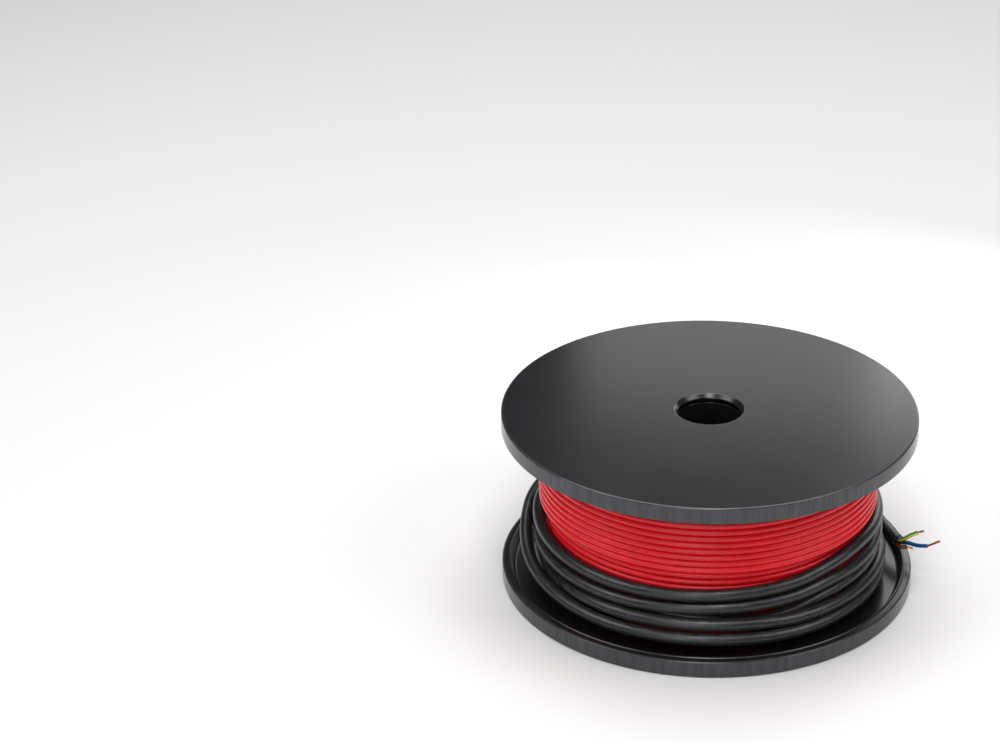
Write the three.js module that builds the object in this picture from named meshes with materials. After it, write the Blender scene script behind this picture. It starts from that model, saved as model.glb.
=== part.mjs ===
// A reel of underfloor heating cable: a black plastic reel that stands on its lower flange, wound with thin
// red heating cable, with the black three-core supply lead wound over it. Millimetres, +Z up. The origin is
// at the centre of the reel's foot, and the lead's stripped end is on the +X side.
import * as THREE from 'three';

// Reel
const flangeRadius = 100;
const reelHeight = 89.3;
const rimHeight = 9;
const rimWidth = 4.5;
const rimRounding = 1.2;
const flangeThickness = 4;
const dishWidth = 3.5;
const boreRadius = 15;
const mouthRadius = 16.7;
const mouthDepth = 2;
const hubWall = 3;
const barrelRadius = 58;
const barrelWall = 2.5;
const webThickness = 2.5;
const assemblyGap = 0.3;
const boreCutClearance = 0.3;

// Heating cable
const cableDiameter = 3.3;
const windingRadius = 82;
const windingGap = 0.4;
const grooveDepth = 0.9;
const deepLayerDepth = 4.5;
const middleLayerBottom = 25;

// Supply lead and its cores
const leadDiameter = 6;
const leadClearance = 0.5;
const coreDiameter = 2;
const conductorDiameter = 1.1;
const coreClearance = 0.3;

// Fineness of the turned and swept solids
const turnedSegments = 60;
const windingSegments = 48;
const leadSides = 8;
const leadSteps = 200;
const coreSides = 8;
const coreSteps = 7;
const conductorSteps = 2;

// The lead's route as wound, from its start behind the reel. Each row is the angle travelled from the +X
// side, clockwise from above, in degrees, then the radius and the height of the lead's centre.
const leadRoute = [
  [-120, 82.2, 39.8], [-60, 82.2, 39.2], [0, 82.2, 38.7], [30, 82.0, 40.2], [47, 82.0, 38.4],
  [60, 82.0, 35.8], [90, 82.0, 33.6], [120, 82.0, 32.6], [150, 82.0, 33.3], [180, 82.0, 34.5],
  [210, 82.0, 34.4], [270, 82.2, 32.6], [330, 82.2, 30.9], [360, 82.2, 30.0], [377, 82.2, 29.6],
  [394, 82.2, 30.1], [407, 82.0, 30.2], [420, 82.0, 28.4], [450, 82.0, 26.8], [480, 82.0, 25.1],
  [510, 82.0, 24.8], [540, 82.0, 25.2], [570, 82.2, 25.9], [630, 82.2, 26.4], [690, 82.2, 24.8],
  [720, 81.4, 23.8], [750, 80.6, 23.0], [767, 79.3, 21.4], [780, 78.3, 18.2], [795, 77.5, 17.1],
  [810, 77.3, 18.8], [840, 77.2, 20.5], [870, 77.2, 20.6], [900, 77.6, 20.2], [930, 80.0, 19.7],
  [990, 82.2, 20.1], [1050, 82.4, 18.5], [1080, 84.2, 17.9], [1110, 84.6, 17.9], [1140, 84.7, 18.1],
  [1155, 84.6, 19.1], [1170, 84.5, 19.3], [1200, 84.2, 19.2], [1215, 83.0, 18.3], [1230, 81.6, 16.3],
  [1260, 81.4, 14.0], [1290, 81.8, 13.5], [1350, 82.2, 13.8], [1410, 82.4, 12.1], [1440, 84.2, 11.7],
  [1470, 85.2, 11.7], [1500, 86.6, 12.1], [1530, 87.0, 12.9], [1560, 87.1, 13.1], [1575, 87.6, 13.9],
  [1590, 88.1, 15.8], [1605, 88.3, 18.6], [1620, 88.4, 24.0], [1632, 88.5, 28.8], [1650, 88.5, 30.2],
  [1680, 88.6, 29.0], [1710, 88.7, 25.5], [1740, 88.8, 21.5], [1760, 88.9, 19.0], [1778, 89.2, 16.8],
  [1786, 90.3, 15.8], [1791, 92.4, 15.0], [1794.5, 94.4, 14.5],
];

// Each core's centre from the lead's cut end to where its insulation is stripped, then its conductor's tip.
const coreRoutes = {
  green_yellow: [
    [94.4, 8.1, 15.7], [95.3, 6.7, 16.4], [97.4, 5.9, 18.0], [100.5, 5.9, 19.9], [103.2, 6.0, 21.1],
    [106.0, 5.0, 22.6],
  ],
  brown: [[93.5, 7.7, 13.6], [94.3, 6.3, 13.1], [95.9, 5.6, 12.9], [98.2, 5.6, 13.2], [101.1, 5.0, 12.7]],
  blue: [
    [95.6, 8.6, 13.9], [96.9, 6.9, 14.9], [98.8, 4.3, 16.1], [102.8, 1.0, 16.7], [107.3, -2.0, 18.2],
    [113.0, -7.0, 24.0],
  ],
};

// Heights that follow from the sizes above
const flangeFloor = flangeThickness;
const flangeCeiling = reelHeight - flangeThickness;
const leadSeatRadius = windingRadius - leadDiameter / 2 - leadClearance;
const deepSeatRadius = leadSeatRadius - deepLayerDepth;
const leadTop = Math.max(...leadRoute.map(([, , height]) => height)) + leadDiameter / 2;
const outerLayerBottom = leadTop + windingGap;

const reelPlastic = new THREE.MeshStandardMaterial({ color: '#2b2b2d', roughness: 0.42, metalness: 0 });
const reelCore = new THREE.MeshStandardMaterial({ color: '#232325', roughness: 0.5, metalness: 0 });
const redSheath = new THREE.MeshStandardMaterial({ color: '#d92036', roughness: 0.4, metalness: 0 });
const blackSheath = new THREE.MeshStandardMaterial({ color: '#3a3a3c', roughness: 0.55, metalness: 0 });
const coreColours = { green_yellow: '#b9c22e', brown: '#6b3a20', blue: '#2566b5' };
const copper = new THREE.MeshStandardMaterial({ color: '#c9733f', roughness: 0.3, metalness: 1 });

// A solid turned about +Z from a closed outline of [radius, height] points, listed anticlockwise.
function turned(outline, segments) {
  const points = outline.map(([radius, height]) => new THREE.Vector2(radius, height));
  points.push(points[0].clone());
  const geometry = new THREE.LatheGeometry(points, segments);
  return geometry.rotateX(Math.PI / 2);
}

// A round solid of the given diameter swept along a curve.
function swept(curve, diameter, sides, steps) {
  const section = new THREE.Shape();
  for (let side = 0; side < sides; side += 1) {
    const angle = (side / sides) * 2 * Math.PI;
    const x = (diameter / 2) * Math.cos(angle);
    const y = (diameter / 2) * Math.sin(angle);
    if (side === 0) section.moveTo(x, y);
    else section.lineTo(x, y);
  }
  section.closePath();
  return new THREE.ExtrudeGeometry(section, { steps, bevelEnabled: false, extrudePath: curve, curveSegments: 1 });
}

// A value of the lead's route at an angle travelled, on a smooth curve through the rows.
function routeValue(travel, column) {
  const last = leadRoute.length - 1;
  let row = 0;
  while (row < last - 1 && leadRoute[row + 1][0] < travel) row += 1;
  const slope = (at) => {
    const before = leadRoute[Math.max(at - 1, 0)];
    const after = leadRoute[Math.min(at + 1, last)];
    return (after[column] - before[column]) / (after[0] - before[0]);
  };
  const [from, to] = [leadRoute[row], leadRoute[row + 1]];
  const span = to[0] - from[0];
  const t = (travel - from[0]) / span;
  const startWeight = (1 + 2 * t) * (1 - t) ** 2;
  const endWeight = t * t * (3 - 2 * t);
  const startSlope = slope(row) * span * t * (1 - t) ** 2;
  const endSlope = slope(row + 1) * span * t * t * (t - 1);
  return startWeight * from[column] + endWeight * to[column] + startSlope + endSlope;
}

class WoundLead extends THREE.Curve {
  getPoint(share, target = new THREE.Vector3()) {
    const start = leadRoute[0][0];
    const end = leadRoute[leadRoute.length - 1][0];
    const travel = start + share * (end - start);
    const radius = routeValue(travel, 1);
    const angle = -THREE.MathUtils.degToRad(travel);
    return target.set(radius * Math.cos(angle), radius * Math.sin(angle), routeValue(travel, 2));
  }
}

// One flange as moulded, with its flat face down: a disc with a raised, rounded rim and the bore's mouth.
function flangeOutline() {
  const rimInside = flangeRadius - rimWidth;
  return [
    [boreRadius, mouthDepth],
    [boreRadius + boreCutClearance, mouthDepth / 2],
    [mouthRadius, 0],
    [flangeRadius - rimRounding / 2, 0],
    [flangeRadius, rimRounding / 2],
    [flangeRadius, rimHeight - rimRounding],
    [flangeRadius - rimRounding, rimHeight],
    [rimInside + rimRounding, rimHeight],
    [rimInside, rimHeight - rimRounding],
    [rimInside - dishWidth / 3, flangeThickness + (rimHeight - flangeThickness) / 4],
    [rimInside - dishWidth, flangeThickness],
    [boreRadius, flangeThickness],
  ];
}

// The drum wall and the hub tube, joined half way up by a web.
function barrelOutline() {
  const bottom = flangeFloor + assemblyGap;
  const top = flangeCeiling - assemblyGap;
  const webBottom = (reelHeight - webThickness) / 2;
  const webTop = webBottom + webThickness;
  const hubRadius = boreRadius + hubWall;
  const drumInside = barrelRadius - barrelWall;
  return [
    [boreRadius, bottom], [hubRadius, bottom], [hubRadius, webBottom], [drumInside, webBottom],
    [drumInside, bottom], [barrelRadius, bottom], [barrelRadius, top], [drumInside, top],
    [drumInside, webTop], [hubRadius, webTop], [hubRadius, top], [boreRadius, top],
  ];
}

// The crests and grooves of the turns that show between two heights, from the lower one up.
function windingTurns(radius, bottom, top) {
  const turns = Math.max(1, Math.round((top - bottom) / cableDiameter));
  const pitch = (top - bottom) / turns;
  const points = [];
  for (let turn = 0; turn < turns; turn += 1) {
    const middle = bottom + (turn + 0.5) * pitch;
    points.push([radius - grooveDepth, middle - pitch / 2 + (turn === 0 ? 0 : 0.01)]);
    points.push([radius, middle - pitch / 5]);
    points.push([radius, middle + pitch / 5]);
  }
  points.push([radius - grooveDepth, top]);
  return points;
}

// The wound heating cable: full layers above, one layer less under the lead, and less again lower down.
function windingOutline() {
  const inside = barrelRadius + assemblyGap;
  const bottom = flangeFloor + assemblyGap;
  const top = flangeCeiling - assemblyGap;
  return [
    [inside, bottom],
    [deepSeatRadius, bottom],
    [deepSeatRadius, middleLayerBottom],
    ...windingTurns(leadSeatRadius, middleLayerBottom, outerLayerBottom),
    ...windingTurns(windingRadius, outerLayerBottom, top),
    [inside, top],
  ];
}

const reel = new THREE.Group();

function addPiece(name, geometry, material) {
  const mesh = new THREE.Mesh(geometry, material);
  mesh.name = name;
  reel.add(mesh);
  return mesh;
}

addPiece('lower_flange', turned(flangeOutline(), turnedSegments), reelPlastic);
const upperFlange = addPiece('upper_flange', turned(flangeOutline(), turnedSegments), reelPlastic);
upperFlange.rotation.x = Math.PI;
upperFlange.position.z = reelHeight;
addPiece('barrel', turned(barrelOutline(), windingSegments), reelCore);
addPiece('heating_cable', turned(windingOutline(), windingSegments), redSheath);
addPiece('cold_lead', swept(new WoundLead(), leadDiameter, leadSides, leadSteps), blackSheath);

for (const [name, route] of Object.entries(coreRoutes)) {
  const points = route.map((point) => new THREE.Vector3(...point));
  const tip = points.pop();
  const insulation = new THREE.CatmullRomCurve3(points);
  const material = new THREE.MeshStandardMaterial({ color: coreColours[name], roughness: 0.4, metalness: 0 });
  addPiece(`core_${name}`, swept(insulation, coreDiameter, coreSides, coreSteps), material);
  const stripped = points[points.length - 1];
  const start = stripped.clone().addScaledVector(insulation.getTangent(1), coreClearance);
  const conductor = new THREE.LineCurve3(start, tip);
  addPiece(`copper_${name}`, swept(conductor, conductorDiameter, coreSides, conductorSteps), copper);
}

export default reel;
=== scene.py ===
"""A reel of underfloor heating cable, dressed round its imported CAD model.

The black plastic reel stands on its lower flange. It is wound with thin red heating cable and, below,
with the black supply lead, whose three coloured cores stick out bare at the tips. All lengths in the
code are metres, in the CAD's own frame, with +Z up along the reel's axis.
"""

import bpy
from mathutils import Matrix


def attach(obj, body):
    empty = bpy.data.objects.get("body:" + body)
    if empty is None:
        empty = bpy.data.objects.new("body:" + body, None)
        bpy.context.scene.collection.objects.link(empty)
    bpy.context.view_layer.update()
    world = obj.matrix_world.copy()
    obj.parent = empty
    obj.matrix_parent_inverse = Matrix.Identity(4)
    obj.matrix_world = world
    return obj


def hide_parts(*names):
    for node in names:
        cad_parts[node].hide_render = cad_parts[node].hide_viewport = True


bl_info = {
    "name": "Heating cable reel",
    "version": (1, 0, 0),
    "blender": (4, 5, 0),
    "location": "3D View > Sidebar > Cable Reel",
    "description": "Builds a wound reel of underfloor heating cable with its supply lead",
    "category": "Add Mesh",
}

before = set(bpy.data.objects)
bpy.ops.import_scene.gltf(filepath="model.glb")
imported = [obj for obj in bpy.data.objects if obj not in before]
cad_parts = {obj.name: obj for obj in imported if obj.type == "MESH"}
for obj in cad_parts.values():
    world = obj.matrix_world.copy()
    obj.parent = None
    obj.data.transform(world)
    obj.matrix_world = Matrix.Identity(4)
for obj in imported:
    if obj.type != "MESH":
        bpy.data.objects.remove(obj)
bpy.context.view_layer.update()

import math

import bmesh
import bpy
from mathutils import Matrix, Vector

MM = 0.001
AXIS = (0.0, 0.0, 1.0)
ORIGIN = (0.0, 0.0, 0.0)
FULL_TURN = 2 * math.pi
REEL_STEPS = 192
CURVED_CORNER_STEPS = 4
FACE_AREA_WEIGHT = 50
WINDING_STEPS = 96
LEAD_STEP = 1.5
LEAD_SIDES = 20
WINDING_SIDES = 14
STRAND_SIDES = 8
CORE_STEPS = 22
STRAND_STEPS = 14
STRAND_COUNT = 7
CABLE_PLACE = "cable_place"
IMAGE_WIDTH = 1000

# The clearance between the reel's mouldings and what touches them, and the angle in degrees over which the
# heating cable runs on to the lead's start.
ASSEMBLY_GAP = 0.3 * MM
RUN_ON = 40.0
RUN_ON_STEPS = 10

# The lead's thickness at its start, as a share of its full thickness.
TAPER_START = 0.58

# The camera: its place, and the turn, rise and lean that the photograph shows.
CAMERA_PLACE = (0.0, -1.28332, 0.73870)
CAMERA_TURN = -0.0781263
CAMERA_DROP = 0.4565282
CAMERA_LEAN = 0.0111543
FOCAL_PIXELS = 2991.363

# The lead's centre line as wound, from its start behind the reel: the angle travelled from the +X side,
# clockwise from above, in degrees, then the radius and the height in millimetres.
LEAD_ROUTE = [
    (-120, 82.2, 39.8), (-60, 82.2, 39.2), (0, 82.2, 38.7), (30, 82.0, 40.2), (47, 82.0, 38.4),
    (60, 82.0, 35.8), (90, 82.0, 33.6), (120, 82.0, 32.6), (150, 82.0, 33.3), (180, 82.0, 34.5),
    (210, 82.0, 34.4), (270, 82.2, 32.6), (330, 82.2, 30.9), (360, 82.2, 30.0), (377, 82.2, 29.6),
    (394, 82.2, 30.1), (407, 82.0, 30.2), (420, 82.0, 28.4), (450, 82.0, 26.8), (480, 82.0, 25.1),
    (510, 82.0, 24.8), (540, 82.0, 25.2), (570, 82.2, 25.9), (630, 82.2, 26.4), (690, 82.2, 24.8),
    (720, 81.4, 23.8), (750, 80.6, 23.0), (767, 79.3, 21.4), (780, 78.3, 18.2), (795, 77.5, 17.1),
    (810, 77.3, 18.8), (840, 77.2, 20.5), (870, 77.2, 20.6), (900, 77.6, 20.2), (930, 80.0, 19.7),
    (990, 82.2, 20.1), (1050, 82.4, 18.5), (1080, 84.2, 17.9), (1110, 84.6, 17.9), (1140, 84.7, 18.1),
    (1155, 84.6, 19.1), (1170, 84.5, 19.3), (1200, 84.2, 19.2), (1215, 83.0, 18.3), (1230, 81.6, 16.3),
    (1260, 81.4, 14.0), (1290, 81.8, 13.5), (1350, 82.2, 13.8), (1410, 82.4, 12.1), (1440, 84.2, 11.7),
    (1470, 85.2, 11.7), (1500, 86.6, 12.1), (1530, 87.0, 12.9), (1560, 87.1, 13.1), (1575, 87.6, 13.9),
    (1590, 88.1, 15.8), (1605, 88.3, 18.6), (1620, 88.4, 24.0), (1632, 88.5, 28.8), (1650, 88.5, 30.2),
    (1680, 88.6, 29.0), (1710, 88.7, 25.5), (1740, 88.8, 21.5), (1760, 88.9, 19.0), (1778, 89.2, 16.8),
    (1786, 90.3, 15.8), (1791, 92.4, 15.0), (1794.5, 94.4, 14.5),
]

# Each core's line from inside the sheath, in millimetres: the last point is the copper's tip, and the
# one before it is where the insulation ends.
CORE_ROUTES = {
    "green_yellow": [(94.4, 8.1, 15.7), (95.3, 6.7, 16.4), (97.4, 5.9, 18.0), (100.5, 5.9, 19.9),
                     (103.2, 6.0, 21.1), (106.0, 5.0, 22.6)],
    "brown": [(93.5, 7.7, 13.6), (94.3, 6.3, 13.1), (95.9, 5.6, 12.9), (98.2, 5.6, 13.2),
              (101.1, 5.0, 12.7)],
    "blue": [(95.6, 8.6, 13.9), (96.9, 6.9, 14.9), (98.8, 4.3, 16.1), (102.8, 1.0, 16.7),
             (107.3, -2.0, 18.2), (113.0, -7.0, 24.0)],
}


def linear(sheet_colour):
    """Turns an sRGB hex colour into the linear red, green and blue that a shader takes."""
    parts = [int(sheet_colour[i:i + 2], 16) / 255 for i in (1, 3, 5)]
    return tuple(c / 12.92 if c <= 0.04045 else ((c + 0.055) / 1.055) ** 2.4 for c in parts)


def length_property(name, description, millimetres):
    return bpy.props.FloatProperty(
        name=name, description=description, default=millimetres * MM, min=0.0, precision=5,
        unit="LENGTH", subtype="DISTANCE")


def colour_property(name, description, sheet_colour):
    return bpy.props.FloatVectorProperty(
        name=name, description=description, default=linear(sheet_colour), size=3, min=0.0, max=1.0,
        subtype="COLOR")


def power_property(name, description, watts):
    return bpy.props.FloatProperty(
        name=name, description=description, default=watts, min=0.0, unit="POWER")


class ReelSizes(bpy.types.PropertyGroup):
    """Sizes of the moulded reel."""

    flange_radius: length_property("Flange radius", "Radius of both flanges", 100)
    height: length_property("Height", "From the foot to the top face", 89.3)
    rim_height: length_property("Rim height", "Height of a flange's raised rim", 9)
    rim_width: length_property("Rim width", "Width of a flange's raised rim", 4.5)
    flange_thickness: length_property("Flange thickness", "Thickness inside the rim", 4)
    dish_width: length_property("Dish width", "Width of the slope inside the rim", 1.6)
    bore_radius: length_property("Bore radius", "Radius of the spindle bore", 15)
    mouth_radius: length_property("Mouth radius", "Radius of the bore's chamfered mouth", 16.7)
    mouth_depth: length_property("Mouth depth", "Depth of the bore's mouth", 2)
    drum_radius: length_property("Drum radius", "Radius of the drum under the cable", 58)
    drum_wall: length_property("Drum wall", "Thickness of the drum's wall", 2.5)
    hub_wall: length_property("Hub wall", "Thickness of the tube round the bore", 3)
    web_thickness: length_property("Web", "Thickness of the web between drum and hub", 2.5)


class CableSizes(bpy.types.PropertyGroup):
    """Sizes of the wound heating cable."""

    diameter: length_property("Diameter", "Thickness of the heating cable", 3.3)
    outer_radius: length_property("Outer radius", "Outside of the last full layer", 82)
    outer_bottom: length_property("Outer layer's bottom", "Where the last full layer ends", 43.6)
    seat_radius: length_property("Seat radius", "Outside of the layer under the lead", 78.5)
    middle_bottom: length_property("Middle layer's bottom", "Where that layer ends", 25)
    deep_radius: length_property("Deep radius", "Outside of the lowest turns", 71)
    looseness: length_property("Looseness", "How far a turn strays from its place", 0.12)


class LeadSizes(bpy.types.PropertyGroup):
    """Sizes of the supply lead, its cores and their copper."""

    diameter: length_property("Lead diameter", "Thickness of the black supply lead", 6)
    sheath_wall: length_property("Sheath wall", "Thickness of the lead's sheath", 0.9)
    taper: length_property("Taper", "Length of the moulded taper at the lead's start", 12)
    core_diameter: length_property("Core diameter", "Thickness of an insulated core", 2)
    strand_diameter: length_property("Strand diameter", "Thickness of one copper strand", 0.36)
    strand_twist: length_property("Twist", "Length in which the strands turn once", 11)


class Finishes(bpy.types.PropertyGroup):
    """Colours of the materials."""

    reel: colour_property("Reel", "Black moulded polystyrene", "#121315")
    # The rims' lighter grey serves both as scuffed wear in streaks and as a painted sheen over every rim.
    rim_scuff_and_sheen: colour_property("Reel scuffs", "Rubbed plastic on the rims", "#414347")
    red: colour_property("Heating cable", "Red sheath", "#EE1527")
    red_deep: colour_property("Heating cable, deeper", "The red where it varies", "#CC0D1B")
    lead: colour_property("Lead", "Black flexible sheath", "#1C1D1F")
    lead_bloom: colour_property("Lead bloom", "Pale powder on the black sheath", "#393B3E")
    brown: colour_property("Brown core", "Brown insulation", "#5A2C14")
    blue: colour_property("Blue core", "Blue insulation", "#0B5791")
    yellow: colour_property("Yellow", "Yellow of the earth core", "#E8C41C")
    green: colour_property("Green", "Green of the earth core", "#1F7A32")
    copper: colour_property("Copper", "Bare copper strands", "#C9744F")
    floor: colour_property("Floor", "Pale floor", "#CFCFCF")


class StageSettings(bpy.types.PropertyGroup):
    """Strength of the studio lights."""

    overhead: power_property("Overhead", "Power of the large light above", 21.0)
    strip: power_property("Strip", "Power of the small light high in front", 4.5)
    front: power_property("Front", "Power of the light beside the camera", 7.0)
    back: power_property("Back", "Power of the low light behind on the right", 0.3)
    far: power_property("Far", "Power of the low light behind in the middle", 0.15)
    sides: power_property("Sides", "Power of the lights on the left and right", 6.0)
    ceiling: bpy.props.FloatProperty(
        name="Ceiling", description="Brightness of the ceiling", default=0.25, min=0.0)
    surroundings: bpy.props.FloatProperty(
        name="Surroundings", description="Brightness of the room around", default=0.06, min=0.0)


def add_node(tree, kind, settings=None, inputs=None):
    """Adds a shader node with its own settings, and with values or other nodes' sockets as inputs."""
    node = tree.nodes.new(kind)
    for name, value in (settings or {}).items():
        setattr(node, name, value)
    for name, value in (inputs or {}).items():
        if isinstance(value, bpy.types.NodeSocket):
            tree.links.new(value, node.inputs[name])
        else:
            node.inputs[name].default_value = value
    return node


def plain_material(name, colour, roughness, settings=None):
    """A material with one colour and constants on the shader's own sockets, and its node tree."""
    material = bpy.data.materials.new(name)
    material.use_nodes = True
    material.diffuse_color = (*colour, 1.0)
    tree = material.node_tree
    shader = tree.nodes["Principled BSDF"]
    shader.inputs["Base Color"].default_value = (*colour, 1.0)
    shader.inputs["Roughness"].default_value = roughness
    for socket, value in (settings or {}).items():
        shader.inputs[socket].default_value = value
    return material, tree, shader


def add_relief(tree, shader, height, depth, strength):
    """Gives the shader a bump from a height pattern. Depth is in metres."""
    relief = add_node(tree, "ShaderNodeBump", inputs={
        "Strength": strength, "Distance": depth, "Height": height})
    tree.links.new(relief.outputs["Normal"], shader.inputs["Normal"])


def mixed(tree, share, low, high):
    """The socket of a colour mixed from low to high by a share."""
    mix = add_node(tree, "ShaderNodeMix", {"data_type": "RGBA"})
    tree.links.new(share, mix.inputs["Factor"])
    for index, colour in ((6, low), (7, high)):
        if isinstance(colour, bpy.types.NodeSocket):
            tree.links.new(colour, mix.inputs[index])
        else:
            mix.inputs[index].default_value = (*colour, 1.0)
    return mix.outputs[2]


def moulded_polystyrene(finishes):
    """Injection-moulded polystyrene: a near-black satin skin with a faint grain, lighter at the rims from
    scuffing and a painted sheen.
    """
    material, tree, shader = plain_material("moulded_polystyrene", finishes.reel, 0.42, {"IOR": 1.5})
    place = add_node(tree, "ShaderNodeTexCoord").outputs["Object"]
    # Slow differences in the skin, about 40 mm across, where the plastic filled the mould.
    cloud = add_node(tree, "ShaderNodeTexNoise", inputs={"Vector": place, "Scale": 25.0, "Detail": 3.0})
    # Beyond 98.5 mm from the axis, on the rims, the plastic turns lighter: short upright streaks of rubbing
    # over a painted sheen that lightens the whole rim band.
    flat = add_node(tree, "ShaderNodeVectorMath", {"operation": "MULTIPLY"})
    tree.links.new(place, flat.inputs[0])
    flat.inputs[1].default_value = (1.0, 1.0, 0.0)
    distance = add_node(tree, "ShaderNodeVectorMath", {"operation": "LENGTH"})
    tree.links.new(flat.outputs["Vector"], distance.inputs[0])
    at_rim = add_node(tree, "ShaderNodeMapRange", inputs={
        "Value": distance.outputs["Value"], "From Min": 0.0985, "From Max": 0.1, "To Max": 1.0})
    streaked = add_node(tree, "ShaderNodeMapping", inputs={"Vector": place, "Scale": (1.0, 1.0, 0.12)})
    streaks = add_node(tree, "ShaderNodeTexNoise", inputs={
        "Vector": streaked.outputs["Vector"], "Scale": 420.0, "Detail": 4.0, "Roughness": 0.65})
    # The streaks' share never falls below 0.45, which paints a sheen along the whole rim.
    streaks_over_sheen = add_node(tree, "ShaderNodeMapRange", inputs={
        "Value": streaks.outputs["Fac"], "From Min": 0.35, "From Max": 0.75, "To Min": 0.45, "To Max": 1.0})
    rim_wear_and_sheen = add_node(tree, "ShaderNodeMath", {"operation": "MULTIPLY"})
    tree.links.new(at_rim.outputs["Result"], rim_wear_and_sheen.inputs[0])
    tree.links.new(streaks_over_sheen.outputs["Result"], rim_wear_and_sheen.inputs[1])
    darker = tuple(c * 0.86 for c in finishes.reel)
    skin = mixed(tree, cloud.outputs["Fac"], darker, finishes.reel)
    tree.links.new(
        mixed(tree, rim_wear_and_sheen.outputs["Value"], skin, finishes.rim_scuff_and_sheen), shader.inputs["Base Color"])
    gloss = add_node(tree, "ShaderNodeMapRange", inputs={
        "Value": cloud.outputs["Fac"], "To Min": 0.23, "To Max": 0.29})
    # The rims are handled and so more polished than the faces.
    polish = add_node(tree, "ShaderNodeMath", {"operation": "MULTIPLY_ADD"})
    tree.links.new(at_rim.outputs["Result"], polish.inputs[0])
    polish.inputs[1].default_value = -0.06
    tree.links.new(gloss.outputs["Result"], polish.inputs[2])
    tree.links.new(polish.outputs["Value"], shader.inputs["Roughness"])
    # Mould grain about 0.5 mm across, drawn a little coarser than the real one so that it shows.
    grain = add_node(tree, "ShaderNodeTexNoise", inputs={"Vector": place, "Scale": 2000.0, "Detail": 2.0})
    add_relief(tree, shader, grain.outputs["Fac"], 0.03 * MM, 0.25)
    return material


def extruded_red_sheath(finishes):
    """Extruded polymer sheath: a bright satin red with fine lines drawn along it by the die."""
    material, tree, shader = plain_material("extruded_red_sheath", finishes.red, 0.36, {"IOR": 1.47})
    along = add_node(tree, "ShaderNodeAttribute", {"attribute_name": CABLE_PLACE}).outputs["Vector"]
    # The die's lines are about 0.4 mm apart round the cable and run on for a centimetre or more.
    drawn = add_node(tree, "ShaderNodeMapping", inputs={"Vector": along, "Scale": (0.03, 1.0, 1.0)})
    lines = add_node(tree, "ShaderNodeTexNoise", inputs={
        "Vector": drawn.outputs["Vector"], "Scale": 2400.0, "Detail": 3.0})
    slow = add_node(tree, "ShaderNodeTexNoise", inputs={"Vector": along, "Scale": 60.0, "Detail": 2.0})
    tree.links.new(
        mixed(tree, slow.outputs["Fac"], finishes.red_deep, finishes.red), shader.inputs["Base Color"])
    gloss = add_node(tree, "ShaderNodeMapRange", inputs={
        "Value": lines.outputs["Fac"], "To Min": 0.3, "To Max": 0.44})
    tree.links.new(gloss.outputs["Result"], shader.inputs["Roughness"])
    add_relief(tree, shader, lines.outputs["Fac"], 0.03 * MM, 0.35)
    return material


def flexible_black_sheath(finishes):
    """Flexible PVC sheath: a dull black with a dry bloom and short marks from being drawn and wound."""
    material, tree, shader = plain_material("flexible_black_sheath", finishes.lead, 0.5, {"IOR": 1.5})
    along = add_node(tree, "ShaderNodeAttribute", {"attribute_name": CABLE_PLACE}).outputs["Vector"]
    # Marks about 5 mm long and two thirds of a millimetre across.
    drawn = add_node(tree, "ShaderNodeMapping", inputs={"Vector": along, "Scale": (0.12, 1.0, 1.0)})
    marks = add_node(tree, "ShaderNodeTexNoise", inputs={
        "Vector": drawn.outputs["Vector"], "Scale": 1500.0, "Detail": 3.0, "Roughness": 0.6})
    bloom = add_node(tree, "ShaderNodeMapRange", inputs={
        "Value": marks.outputs["Fac"], "From Min": 0.5, "From Max": 0.75})
    bloomed = mixed(tree, bloom.outputs["Result"], finishes.lead, finishes.lead_bloom)
    tree.links.new(bloomed, shader.inputs["Base Color"])
    gloss = add_node(tree, "ShaderNodeMapRange", inputs={
        "Value": marks.outputs["Fac"], "To Min": 0.2, "To Max": 0.5})
    tree.links.new(gloss.outputs["Result"], shader.inputs["Roughness"])
    add_relief(tree, shader, marks.outputs["Fac"], 0.12 * MM, 0.7)
    return material


def core_insulation(name, colour):
    """PVC core insulation: a clean glossy colour with a faint ripple over the strands."""
    material, tree, shader = plain_material(f"core_insulation_{name}", colour, 0.3, {"IOR": 1.5})
    along = add_node(tree, "ShaderNodeAttribute", {"attribute_name": CABLE_PLACE}).outputs["Vector"]
    ripple = add_node(tree, "ShaderNodeTexNoise", inputs={"Vector": along, "Scale": 900.0, "Detail": 2.0})
    darker = tuple(c * 0.8 for c in colour)
    tree.links.new(mixed(tree, ripple.outputs["Fac"], darker, colour), shader.inputs["Base Color"])
    add_relief(tree, shader, ripple.outputs["Fac"], 0.05 * MM, 0.3)
    return material, tree, shader


def striped_earth_insulation(finishes):
    """PVC insulation of the earth core: yellow with two green stripes that run along it."""
    material, tree, shader = core_insulation("green_yellow", finishes.yellow)
    along = add_node(tree, "ShaderNodeAttribute", {"attribute_name": CABLE_PLACE}).outputs["Vector"]
    parts = add_node(tree, "ShaderNodeSeparateXYZ", inputs={"Vector": along})
    depth = add_node(tree, "ShaderNodeMath", {"operation": "ABSOLUTE"})
    tree.links.new(parts.outputs["Z"], depth.inputs[0])
    # The stripes are where the surface is over 0.45 mm above or below the core's middle.
    stripe = add_node(tree, "ShaderNodeMapRange", inputs={
        "Value": depth.outputs["Value"], "From Min": 0.42 * MM, "From Max": 0.48 * MM})
    striped = mixed(tree, stripe.outputs["Result"], finishes.yellow, finishes.green)
    tree.links.new(striped, shader.inputs["Base Color"])
    return material


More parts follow.
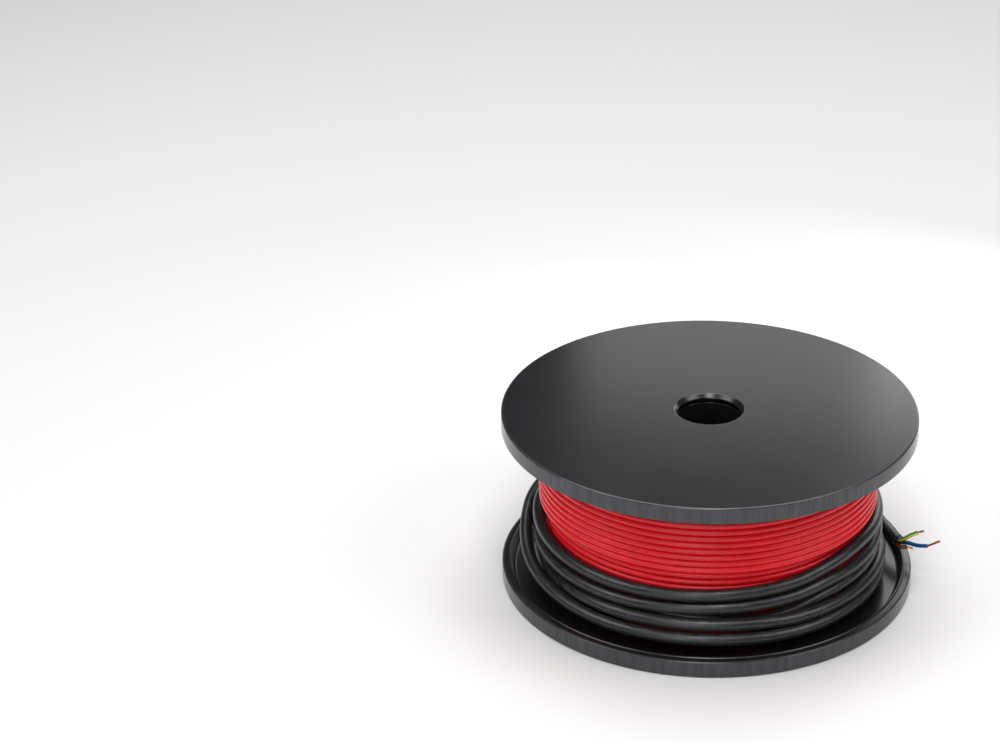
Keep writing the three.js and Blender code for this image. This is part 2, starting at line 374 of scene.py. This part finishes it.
def bare_copper(finishes):
    """Annealed copper strands: warm metal, bright with small duller patches of tarnish."""
    material, tree, shader = plain_material("bare_copper", finishes.copper, 0.3, {"Metallic": 1.0})
    place = add_node(tree, "ShaderNodeTexCoord").outputs["Object"]
    tarnish = add_node(tree, "ShaderNodeTexNoise", inputs={"Vector": place, "Scale": 1500.0, "Detail": 2.0})
    darker = tuple(c * 0.55 for c in finishes.copper)
    tarnished = mixed(tree, tarnish.outputs["Fac"], darker, finishes.copper)
    tree.links.new(tarnished, shader.inputs["Base Color"])
    gloss = add_node(tree, "ShaderNodeMapRange", inputs={
        "Value": tarnish.outputs["Fac"], "To Min": 0.22, "To Max": 0.42})
    tree.links.new(gloss.outputs["Result"], shader.inputs["Roughness"])
    return material


def studio_floor(finishes):
    """Matt painted board: an even pale floor with a barely visible grain."""
    material, tree, shader = plain_material("studio_floor", finishes.floor, 0.9)
    place = add_node(tree, "ShaderNodeTexCoord").outputs["Object"]
    grain = add_node(tree, "ShaderNodeTexNoise", inputs={"Vector": place, "Scale": 300.0, "Detail": 2.0})
    darker = tuple(c * 0.985 for c in finishes.floor)
    tree.links.new(mixed(tree, grain.outputs["Fac"], darker, finishes.floor), shader.inputs["Base Color"])
    return material


def add_piece(name, bm, material, slot_name, *nodes):
    """Makes a finished mesh a piece of the reel, in place of the CAD nodes named."""
    bmesh.ops.recalc_face_normals(bm, faces=bm.faces)
    for face in bm.faces:
        face.smooth = True
    mesh = bpy.data.meshes.new(name)
    bm.to_mesh(mesh)
    bm.free()
    mesh.materials.append(material)
    piece = bpy.data.objects.new(name, mesh)
    bpy.context.scene.collection.objects.link(piece)
    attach(piece, "root")
    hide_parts(*nodes)
    return piece


def settle_order(bm):
    """Numbers vertices and faces by their places, since a spin's own order changes from run to run."""
    verts = sorted(bm.verts, key=lambda vert: tuple(vert.co))
    faces = sorted(bm.faces, key=lambda face: tuple(face.calc_center_median()))
    bm.verts.sort(key={vert: rank for rank, vert in enumerate(verts)}.get)
    bm.faces.sort(key={face: rank for rank, face in enumerate(faces)}.get)


def spin_outline(bm, corners):
    """Spins a closed outline of (radius, height, rounding) corners once round the reel's axis."""
    verts = [bm.verts.new((radius, 0.0, height)) for radius, height, _ in corners]
    for first, second in zip(verts, verts[1:] + verts[:1]):
        bm.edges.new((first, second))
    for vert, (_, _, rounding) in zip(verts, corners):
        if rounding:
            bmesh.ops.bevel(
                bm, geom=[vert], offset=rounding, offset_type="OFFSET",
                segments=CURVED_CORNER_STEPS, profile=0.5, affect="VERTICES", material=-1)
    bmesh.ops.spin(
        bm, geom=bm.verts[:] + bm.edges[:], cent=ORIGIN, axis=AXIS, dvec=ORIGIN, angle=FULL_TURN,
        steps=REEL_STEPS, use_merge=True)
    bmesh.ops.remove_doubles(bm, verts=bm.verts, dist=0.001 * MM)
    settle_order(bm)


def level_shading(piece):
    """Keeps flat faces flat to the eye beside small roundings."""
    modifier = piece.modifiers.new("level_shading", "WEIGHTED_NORMAL")
    modifier.mode = "FACE_AREA"
    modifier.weight = FACE_AREA_WEIGHT


def flange_corners(sizes):
    """A flange's outline with its flat face down, from the bore's mouth outwards."""
    rim_inside = sizes.flange_radius - sizes.rim_width
    # The rim has a fine step at its outer top edge, a raised bead along its crest, and a short slope
    # down to the dish.
    return [
        (sizes.bore_radius, sizes.mouth_depth, 0.3 * MM),
        (sizes.mouth_radius, 0.0, 0.4 * MM),
        (sizes.flange_radius, 0.0, 0.9 * MM),
        (sizes.flange_radius, sizes.rim_height - 1.1 * MM, 0.2 * MM),
        (sizes.flange_radius - 0.5 * MM, sizes.rim_height - 1.5 * MM, 0.0),
        (sizes.flange_radius - 0.7 * MM, sizes.rim_height - 0.9 * MM, 0.2 * MM),
        (rim_inside + 1.3 * MM, sizes.rim_height - 0.45 * MM, 0.2 * MM),
        (rim_inside + 0.9 * MM, sizes.rim_height, 0.25 * MM),
        (rim_inside + 0.3 * MM, sizes.rim_height, 0.25 * MM),
        (rim_inside - 0.3 * MM, sizes.rim_height - 1.1 * MM, 0.4 * MM),
        (rim_inside - sizes.dish_width, sizes.flange_thickness, 1.0 * MM),
        (sizes.bore_radius, sizes.flange_thickness, 0.0),
    ]


def route_value(route, travel, column):
    """A value on a route between its rows, with a smooth slope through each row."""
    last = len(route) - 1
    row = 0
    while row < last - 1 and route[row + 1][0] < travel:
        row += 1

    def slope(at):
        before, after = route[max(at - 1, 0)], route[min(at + 1, last)]
        return (after[column] - before[column]) / (after[0] - before[0])

    start, end = route[row], route[row + 1]
    span = end[0] - start[0]
    share = (travel - start[0]) / span
    return (
        (2 * share ** 3 - 3 * share ** 2 + 1) * start[column]
        + (share ** 3 - 2 * share ** 2 + share) * span * slope(row)
        + (3 * share ** 2 - 2 * share ** 3) * end[column]
        + (share ** 3 - share ** 2) * span * slope(row + 1)
    )


def wound_point(travel, radius, height):
    """The point after an angle travelled clockwise, in degrees, at a radius and height."""
    angle = -math.radians(travel)
    return Vector((radius * math.cos(angle), radius * math.sin(angle), height))


def frames_along(points):
    """A place on each point of a line: X along the line, Z as far up as it goes, Y across."""
    frames = []
    for index, point in enumerate(points):
        before, after = points[max(index - 1, 0)], points[min(index + 1, len(points) - 1)]
        ahead = (after - before).normalized()
        across = Vector(AXIS).cross(ahead).normalized()
        up = ahead.cross(across)
        turn = Matrix((ahead, across, up)).transposed().to_4x4()
        frames.append(Matrix.Translation(point) @ turn)
    return frames


def draw_tubes(name, lines, radii, sides):
    """A mesh of closed round tubes, each along its own line with its own radii. Each vertex keeps its
    place on the cable laid out straight, for patterns that follow it."""
    curve = bpy.data.curves.new(name, "CURVE")
    curve.dimensions = "3D"
    curve.twist_mode = "Z_UP"
    curve.bevel_depth = 1.0
    curve.bevel_resolution = (sides - 4) // 2
    for points, widths in zip(lines, radii):
        spline = curve.splines.new("POLY")
        spline.points.add(len(points) - 1)
        for drawn, point, width in zip(spline.points, points, widths):
            drawn.co = (*point, 1.0)
            drawn.radius = width
    drawing = bpy.data.objects.new(name, curve)
    mesh = bpy.data.meshes.new_from_object(drawing)
    bpy.data.objects.remove(drawing)
    bpy.data.curves.remove(curve)
    place = mesh.attributes.new(CABLE_PLACE, "FLOAT_VECTOR", "POINT")
    vertex, along = 0, 0.0
    for points in lines:
        frames = frames_along(points)
        for index, ring_place in enumerate(frames):
            if index:
                along += (points[index] - points[index - 1]).length
            inverse = ring_place.inverted()
            for _ in range(sides):
                local = inverse @ mesh.vertices[vertex].co
                place.data[vertex].vector = (along, local.y, local.z)
                vertex += 1
    if vertex != len(mesh.vertices):
        raise RuntimeError(f"{name}: {vertex} places for {len(mesh.vertices)} vertices")
    bm = bmesh.new()
    bm.from_mesh(mesh)
    bpy.data.meshes.remove(mesh)
    bmesh.ops.holes_fill(bm, edges=bm.edges)
    return bm


def lead_points(step):
    """The lead's centre line, a point every step degrees of travel."""
    first, last = LEAD_ROUTE[0][0], LEAD_ROUTE[-1][0]
    count = math.ceil((last - first) / step)
    travels = [first + (last - first) * index / count for index in range(count + 1)]
    radii = [route_value(LEAD_ROUTE, travel, 1) * MM for travel in travels]
    heights = [route_value(LEAD_ROUTE, travel, 2) * MM for travel in travels]
    return [wound_point(*place) for place in zip(travels, radii, heights)]


def smooth_line(corners, count):
    """A smooth line through a few points, with count points."""
    lengths = [0.0]
    for before, after in zip(corners, corners[1:]):
        lengths.append(lengths[-1] + (after - before).length)
    route = [(length, *corner) for length, corner in zip(lengths, corners)]
    return [
        Vector([route_value(route, lengths[-1] * index / (count - 1), column) for column in (1, 2, 3)])
        for index in range(count)]


class REEL_OT_stage(bpy.types.Operator):
    """Add the camera, the pale floor and the studio lights"""

    bl_idname = "cable_reel.stage"
    bl_label = "Stage"

    def execute(self, context):
        settings = context.scene.reel_stage
        self.add_camera(context.scene)
        self.add_floor(context.scene)
        self.add_light("overhead", (0.0, 0.5, 1.5), (0.0, 0.3, 0.0), 1.2, settings.overhead)
        self.add_light("strip", (0.0, -0.55, 1.1), (0.0, 0.0, 0.05), 0.3, settings.strip)
        self.add_light("front", (-0.25, -1.5, 0.75), (0.0, 0.0, 0.05), 0.8, settings.front)
        self.add_light("back", (0.2, 0.36, 0.19), (0.03, 0.0, 0.089), 0.2, settings.back)
        self.add_light("far", (0.02, 0.34, 0.16), (0.0, 0.0, 0.089), 0.2, settings.far)
        self.add_light("left", (-0.9, -0.3, 0.95), (0.0, 0.0, 0.05), 0.7, settings.sides)
        self.add_light("right", (0.9, -0.3, 0.95), (0.0, 0.0, 0.05), 0.7, settings.sides)
        self.add_room(context.scene, settings)
        context.scene.view_settings.view_transform = "Standard"
        return {"FINISHED"}

    def add_room(self, scene, settings):
        """A dim room with a pale ceiling. It brightens from 31 to 55 degrees above the horizon."""
        world = bpy.data.worlds.new("surroundings")
        world.use_nodes = True
        tree = world.node_tree
        direction = add_node(tree, "ShaderNodeTexCoord").outputs["Generated"]
        height = add_node(tree, "ShaderNodeSeparateXYZ", inputs={"Vector": direction}).outputs["Z"]
        brightness = add_node(tree, "ShaderNodeMapRange", {"interpolation_type": "SMOOTHSTEP"}, {
            "Value": height, "From Min": 0.52, "From Max": 0.82,
            "To Min": settings.surroundings, "To Max": settings.ceiling})
        tree.links.new(brightness.outputs["Result"], tree.nodes["Background"].inputs["Strength"])
        tree.nodes["Background"].inputs["Color"].default_value = (1.0, 1.0, 1.0, 1.0)
        scene.world = world

    def add_camera(self, scene):
        """The camera at the photograph's place, angle and focal length."""
        data = bpy.data.cameras.new("camera")
        data.sensor_width = 36.0
        data.lens = FOCAL_PIXELS * data.sensor_width / IMAGE_WIDTH
        data.clip_start = 0.05
        data.clip_end = 20.0
        flat, drop = math.cos(CAMERA_DROP), math.sin(CAMERA_DROP)
        ahead = Vector((math.sin(CAMERA_TURN) * flat, math.cos(CAMERA_TURN) * flat, -drop))
        right = Vector((math.cos(CAMERA_TURN), -math.sin(CAMERA_TURN), 0.0))
        down = ahead.cross(right)
        leaning_right = math.cos(CAMERA_LEAN) * right + math.sin(CAMERA_LEAN) * down
        leaning_down = math.cos(CAMERA_LEAN) * down - math.sin(CAMERA_LEAN) * right
        turn = Matrix((leaning_right, -leaning_down, -ahead)).transposed().to_4x4()
        camera = bpy.data.objects.new("camera", data)
        camera.matrix_world = Matrix.Translation(CAMERA_PLACE) @ turn
        scene.collection.objects.link(camera)
        scene.camera = camera

    def add_floor(self, scene):
        """A wide level floor under the reel."""
        bm = bmesh.new()
        bmesh.ops.create_grid(bm, x_segments=2, y_segments=2, size=6.0)
        mesh = bpy.data.meshes.new("floor")
        bm.to_mesh(mesh)
        bm.free()
        mesh.materials.append(studio_floor(scene.reel_finishes))
        floor = bpy.data.objects.new("floor", mesh)
        scene.collection.objects.link(floor)

    def add_light(self, name, place, target, size, power):
        """A square soft light that faces a target."""
        data = bpy.data.lights.new(name, "AREA")
        data.size = size
        data.energy = power
        light = bpy.data.objects.new(name, data)
        light.visible_camera = False
        light.location = place
        light.rotation_mode = "QUATERNION"
        light.rotation_quaternion = (Vector(target) - Vector(place)).to_track_quat("-Z", "Y")
        bpy.context.scene.collection.objects.link(light)


class REEL_OT_lead(bpy.types.Operator):
    """Add the supply lead with its three stripped cores and their copper strands"""

    bl_idname = "cable_reel.lead"
    bl_label = "Supply lead and cores"

    def execute(self, context):
        sizes, finishes = context.scene.reel_lead, context.scene.reel_finishes
        for name, route in CORE_ROUTES.items():
            self.add_core(name, [Vector(point) * MM for point in route], sizes, finishes)
        points = lead_points(LEAD_STEP)
        radius = sizes.diameter / 2
        radii = [radius] * len(points)
        travelled = 0.0
        for index in range(1, len(points)):
            if travelled < sizes.taper:
                share = math.sin(travelled / sizes.taper * math.pi / 2)
                radii[index - 1] = radius * (TAPER_START + (1.0 - TAPER_START) * share)
            travelled += (points[index] - points[index - 1]).length
        tube, widths = self.with_cut_end(points, radii, sizes.sheath_wall)
        bm = draw_tubes("lead", [tube], [widths], LEAD_SIDES)
        lead = add_piece("lead_wound", bm, flexible_black_sheath(finishes), "black_sheath", "cold_lead")
        return {"FINISHED"}

    def with_cut_end(self, points, radii, wall):
        """The line and radii with the sheath's cut end turned in to its hollow."""
        ahead = (points[-1] - points[-2]).normalized()
        outside = radii[-1]
        inside = outside - wall
        tube = points[:-1] + [points[-1] - ahead * 0.15 * MM, points[-1], points[-1] + ahead * 0.01 * MM,
                              points[-1] - ahead * 0.3 * MM, points[-1] - ahead * 0.9 * MM]
        widths = radii[:-1] + [outside, outside - 0.12 * MM, inside + 0.1 * MM, inside, inside * 0.9]
        return tube, widths

    def add_core(self, name, corners, sizes, finishes):
        """One core: its insulation, and its twisted strands beyond it."""
        radius = sizes.core_diameter / 2
        tip = corners[-1]
        points = smooth_line(corners[:-1], CORE_STEPS)
        ahead = (points[-1] - points[-2]).normalized()
        tube = points + [points[-1] + ahead * 0.12 * MM, points[-1] + ahead * 0.13 * MM]
        widths = [radius] * len(points) + [radius * 0.93, radius * 0.62]
        bm = draw_tubes(name, [tube], [widths], LEAD_SIDES)
        if name == "green_yellow":
            material = striped_earth_insulation(finishes)
        else:
            material = core_insulation(name, getattr(finishes, name))[0]
        core = add_piece(f"insulation_{name}", bm, material, f"{name}_insulation", f"core_{name}")
        start = points[-1] + ahead * 0.14 * MM
        line = smooth_line([start, start.lerp(tip, 0.5) + ahead * 0.2 * MM, tip], STRAND_STEPS)
        wires = [self.strand_line(line, number, sizes) for number in range(STRAND_COUNT)]
        widths = [[sizes.strand_diameter / 2] * len(wire) for wire in wires]
        bm = draw_tubes(name, wires, widths, STRAND_SIDES)
        strands = add_piece(
            f"strands_{name}", bm, bpy.data.materials.get("bare_copper") or bare_copper(finishes),
            "bare_copper", f"copper_{name}")
        return [core, strands]

    def strand_line(self, line, number, sizes):
        """One of seven strands: the first down the middle, and six wound round it, spread at the tip."""
        frames = frames_along(line)
        reach = 0.0 if number == 0 else sizes.strand_diameter
        start = number * FULL_TURN / (STRAND_COUNT - 1)
        travelled, points = 0.0, []
        for index, place in enumerate(frames):
            share = index / (len(frames) - 1)
            angle = start + FULL_TURN * travelled / sizes.strand_twist
            spread = reach * (1.0 + 0.35 * share ** 3)
            points.append(place @ Vector((0.0, spread * math.cos(angle), spread * math.sin(angle))))
            if index + 1 < len(line):
                travelled += (line[index + 1] - line[index]).length
        return points[:len(points) - number % 3]


class REEL_OT_winding(bpy.types.Operator):
    """Add the heating cable's visible turns and the closed winding under them"""

    bl_idname = "cable_reel.winding"
    bl_label = "Heating cable"

    def execute(self, context):
        sizes, reel = context.scene.reel_cable, context.scene.reel_sizes
        radius = sizes.diameter / 2
        floor = reel.flange_thickness + ASSEMBLY_GAP
        ceiling = reel.height - floor
        joint = wound_point(LEAD_ROUTE[0][0], LEAD_ROUTE[0][1] * MM, LEAD_ROUTE[0][2] * MM)
        layers = [
            (sizes.outer_radius, ceiling, sizes.outer_bottom, joint),
            (sizes.seat_radius, sizes.outer_bottom, sizes.middle_bottom, None),
            (sizes.deep_radius, sizes.middle_bottom, floor, None),
        ]
        lines = [
            self.layer_points(outside - radius, top - radius, bottom + radius, sizes, target)
            for outside, top, bottom, target in layers]
        bm = draw_tubes("turns", lines, [[radius] * len(line) for line in lines], WINDING_SIDES)
        material = extruded_red_sheath(context.scene.reel_finishes)
        add_piece("heating_cable_turns", bm, material, "red_sheath", "heating_cable")
        inside = reel.drum_radius + ASSEMBLY_GAP
        gap = sizes.diameter + 0.05 * MM
        bm = bmesh.new()
        spin_outline(bm, [
            (inside, floor, 0.0), (sizes.deep_radius - gap, floor, 0.0),
            (sizes.deep_radius - gap, sizes.middle_bottom, 0.0),
            (sizes.seat_radius - gap, sizes.middle_bottom, 0.0),
            (sizes.seat_radius - gap, sizes.outer_bottom, 0.0),
            (sizes.outer_radius - gap, sizes.outer_bottom, 0.0),
            (sizes.outer_radius - gap, ceiling, 0.0), (inside, ceiling, 0.0),
        ])
        add_piece("heating_cable_inner_layers", bm, material, "red_sheath", "heating_cable")
        return {"FINISHED"}

    def layer_points(self, radius, top, bottom, sizes, target):
        """The centre line of one layer from its top turn down, on to the lead's start if it has one."""
        last = LEAD_ROUTE[0][0] - RUN_ON
        turns = round((top - bottom) / sizes.diameter * 2) / 2
        first = last - 360.0 * turns
        count = round(WINDING_STEPS * turns)
        points = []
        for index in range(count + 1):
            share = index / count
            travel = first + (last - first) * share
            stray = sizes.looseness * (
                0.6 * math.sin(math.radians(travel) * 1.37 + radius * 900)
                + 0.4 * math.sin(math.radians(travel) * 4.1))
            height = top + (bottom - top) * share
            points.append(wound_point(travel, radius + stray * 0.5, height + stray * 0.4))
        if target is not None:
            across = math.hypot(target.x, target.y)
            for index in range(1, RUN_ON_STEPS + 1):
                share = index / RUN_ON_STEPS
                ease = share * share * (3 - 2 * share)
                points.append(wound_point(
                    last + RUN_ON * share,
                    radius + (across - radius) * ease,
                    bottom + (target.z - bottom) * ease))
        return points


class REEL_OT_reel(bpy.types.Operator):
    """Add the two moulded flanges and the drum between them"""

    bl_idname = "cable_reel.reel"
    bl_label = "Reel"

    def execute(self, context):
        sizes = context.scene.reel_sizes
        material = moulded_polystyrene(context.scene.reel_finishes)
        for name, turned_over in (("lower_flange", False), ("upper_flange", True)):
            bm = bmesh.new()
            spin_outline(bm, flange_corners(sizes))
            if turned_over:
                bmesh.ops.rotate(bm, verts=bm.verts, cent=ORIGIN, matrix=Matrix.Rotation(math.pi, 3, "X"))
                bmesh.ops.translate(bm, verts=bm.verts, vec=(0.0, 0.0, sizes.height))
            level_shading(add_piece(f"{name}_moulded", bm, material, "reel_plastic", name))
        self.add_drum(sizes, material)
        return {"FINISHED"}

    def add_drum(self, sizes, material):
        """The drum wall and the hub tube, joined half way up by a web."""
        bottom = sizes.flange_thickness + ASSEMBLY_GAP
        top = sizes.height - bottom
        middle = sizes.height / 2
        hub, wall = sizes.bore_radius + sizes.hub_wall, sizes.drum_radius - sizes.drum_wall
        half_web = sizes.web_thickness / 2
        bm = bmesh.new()
        spin_outline(bm, [
            (sizes.bore_radius, bottom, 0.2 * MM), (hub, bottom, 0.2 * MM),
            (hub, middle - half_web, 0.8 * MM), (wall, middle - half_web, 0.8 * MM),
            (wall, bottom, 0.2 * MM), (sizes.drum_radius, bottom, 0.2 * MM),
            (sizes.drum_radius, top, 0.2 * MM), (wall, top, 0.2 * MM),
            (wall, middle + half_web, 0.8 * MM), (hub, middle + half_web, 0.8 * MM),
            (hub, top, 0.2 * MM), (sizes.bore_radius, top, 0.2 * MM),
        ])
        level_shading(add_piece("drum_moulded", bm, material, "reel_plastic", "barrel"))


class REEL_PT_panel(bpy.types.Panel):
    """Lists the sizes, the colours and the steps"""

    bl_idname = "REEL_PT_panel"
    bl_label = "Cable Reel"
    bl_space_type = "VIEW_3D"
    bl_region_type = "UI"
    bl_category = "Cable Reel"

    def draw(self, context):
        for group in (context.scene.reel_sizes, context.scene.reel_cable, context.scene.reel_lead,
                      context.scene.reel_finishes, context.scene.reel_stage):
            box = self.layout.box()
            for name in group.bl_rna.properties.keys():
                if name not in ("rna_type", "name"):
                    box.prop(group, name)
        for operator in OPERATORS:
            self.layout.operator(operator.bl_idname)


GROUPS = {
    "reel_sizes": ReelSizes, "reel_cable": CableSizes, "reel_lead": LeadSizes,
    "reel_finishes": Finishes, "reel_stage": StageSettings,
}
OPERATORS = (REEL_OT_stage, REEL_OT_lead, REEL_OT_winding, REEL_OT_reel)


def register():
    for name, group in GROUPS.items():
        bpy.utils.register_class(group)
        setattr(bpy.types.Scene, name, bpy.props.PointerProperty(type=group))
    for kind in (*OPERATORS, REEL_PT_panel):
        bpy.utils.register_class(kind)


def unregister():
    for kind in (REEL_PT_panel, *reversed(OPERATORS)):
        bpy.utils.unregister_class(kind)
    for name, group in reversed(GROUPS.items()):
        delattr(bpy.types.Scene, name)
        bpy.utils.unregister_class(group)


def main():
    register()
    bpy.ops.cable_reel.stage()
    bpy.ops.cable_reel.lead()
    bpy.ops.cable_reel.winding()
    bpy.ops.cable_reel.reel()
    bpy.context.view_layer.update()


if __name__ == "__main__":
    main()
